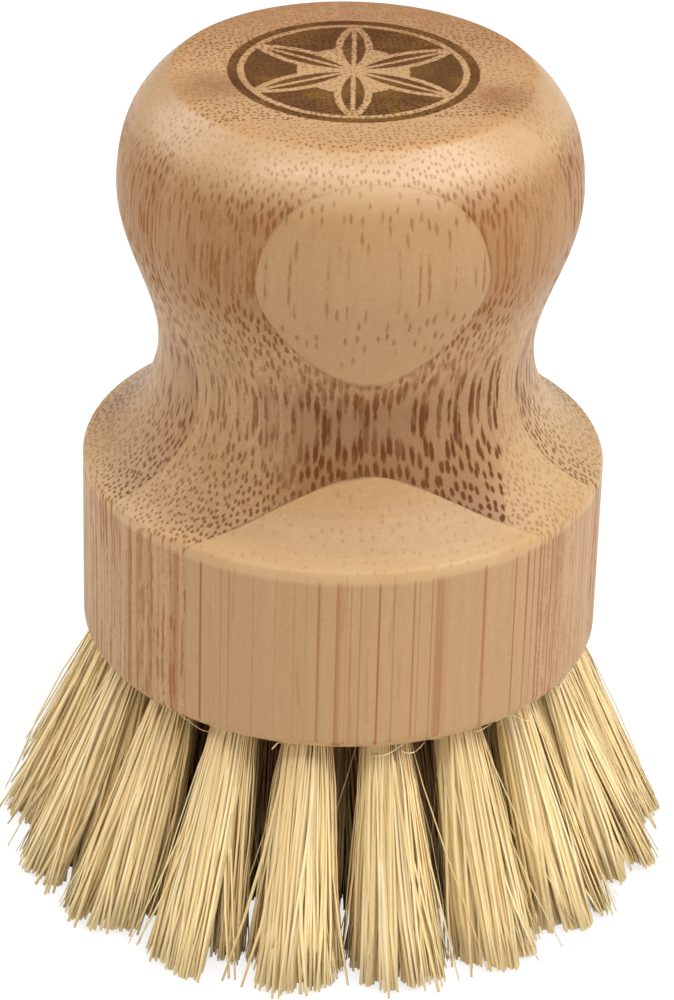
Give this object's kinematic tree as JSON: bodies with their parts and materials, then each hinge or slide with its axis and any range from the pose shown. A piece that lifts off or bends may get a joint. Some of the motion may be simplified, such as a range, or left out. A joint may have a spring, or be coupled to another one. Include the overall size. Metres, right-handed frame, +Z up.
{
  "type": "bamboo pot brush",
  "caption": "Round pot brush: turned bamboo handle with a waist and a knob grip, set with flaring tufts of pale plant fibre.",
  "frame": {"origin": "middle of the cut bristle tips, on the surface the brush stands on", "axes": "+Z up along the turning axis, from the bristles to the knob; -Y towards the picture's viewer"},
  "size_m": [0.0697, 0.0693, 0.0854],
  "materials": {
    "bamboo": "laminated bamboo, turned, sanded and lightly oiled",
    "fibre": "pale undyed agave fibre, cut level at the tips",
    "wire": "bright drawn steel wire"
  },
  "bodies": {
    "root": {"handle": "bamboo", "head": "bamboo", "staples": "wire", "tuft_outer_1": "fibre", "tuft_outer_2": "fibre", "tuft_outer_3": "fibre", "tuft_outer_4": "fibre", "tuft_outer_5": "fibre", "tuft_outer_6": "fibre", "tuft_outer_7": "fibre", "tuft_outer_8": "fibre", "tuft_outer_9": "fibre", "tuft_outer_10": "fibre", "tuft_outer_11": "fibre", "tuft_outer_12": "fibre", "tuft_outer_13": "fibre", "tuft_outer_14": "fibre", "tuft_outer_15": "fibre", "tuft_outer_16": "fibre", "tuft_outer_17": "fibre", "tuft_outer_18": "fibre", "tuft_middle_1": "fibre", "tuft_middle_2": "fibre", "tuft_middle_3": "fibre", "tuft_middle_4": "fibre", "tuft_middle_5": "fibre", "tuft_middle_6": "fibre", "tuft_middle_7": "fibre", "tuft_middle_8": "fibre", "tuft_middle_9": "fibre", "tuft_middle_10": "fibre", "tuft_middle_11": "fibre", "tuft_middle_12": "fibre", "tuft_inner_1": "fibre", "tuft_inner_2": "fibre", "tuft_inner_3": "fibre", "tuft_inner_4": "fibre", "tuft_inner_5": "fibre", "tuft_inner_6": "fibre", "tuft_centre": "fibre"}
  },
  "joints": []
}
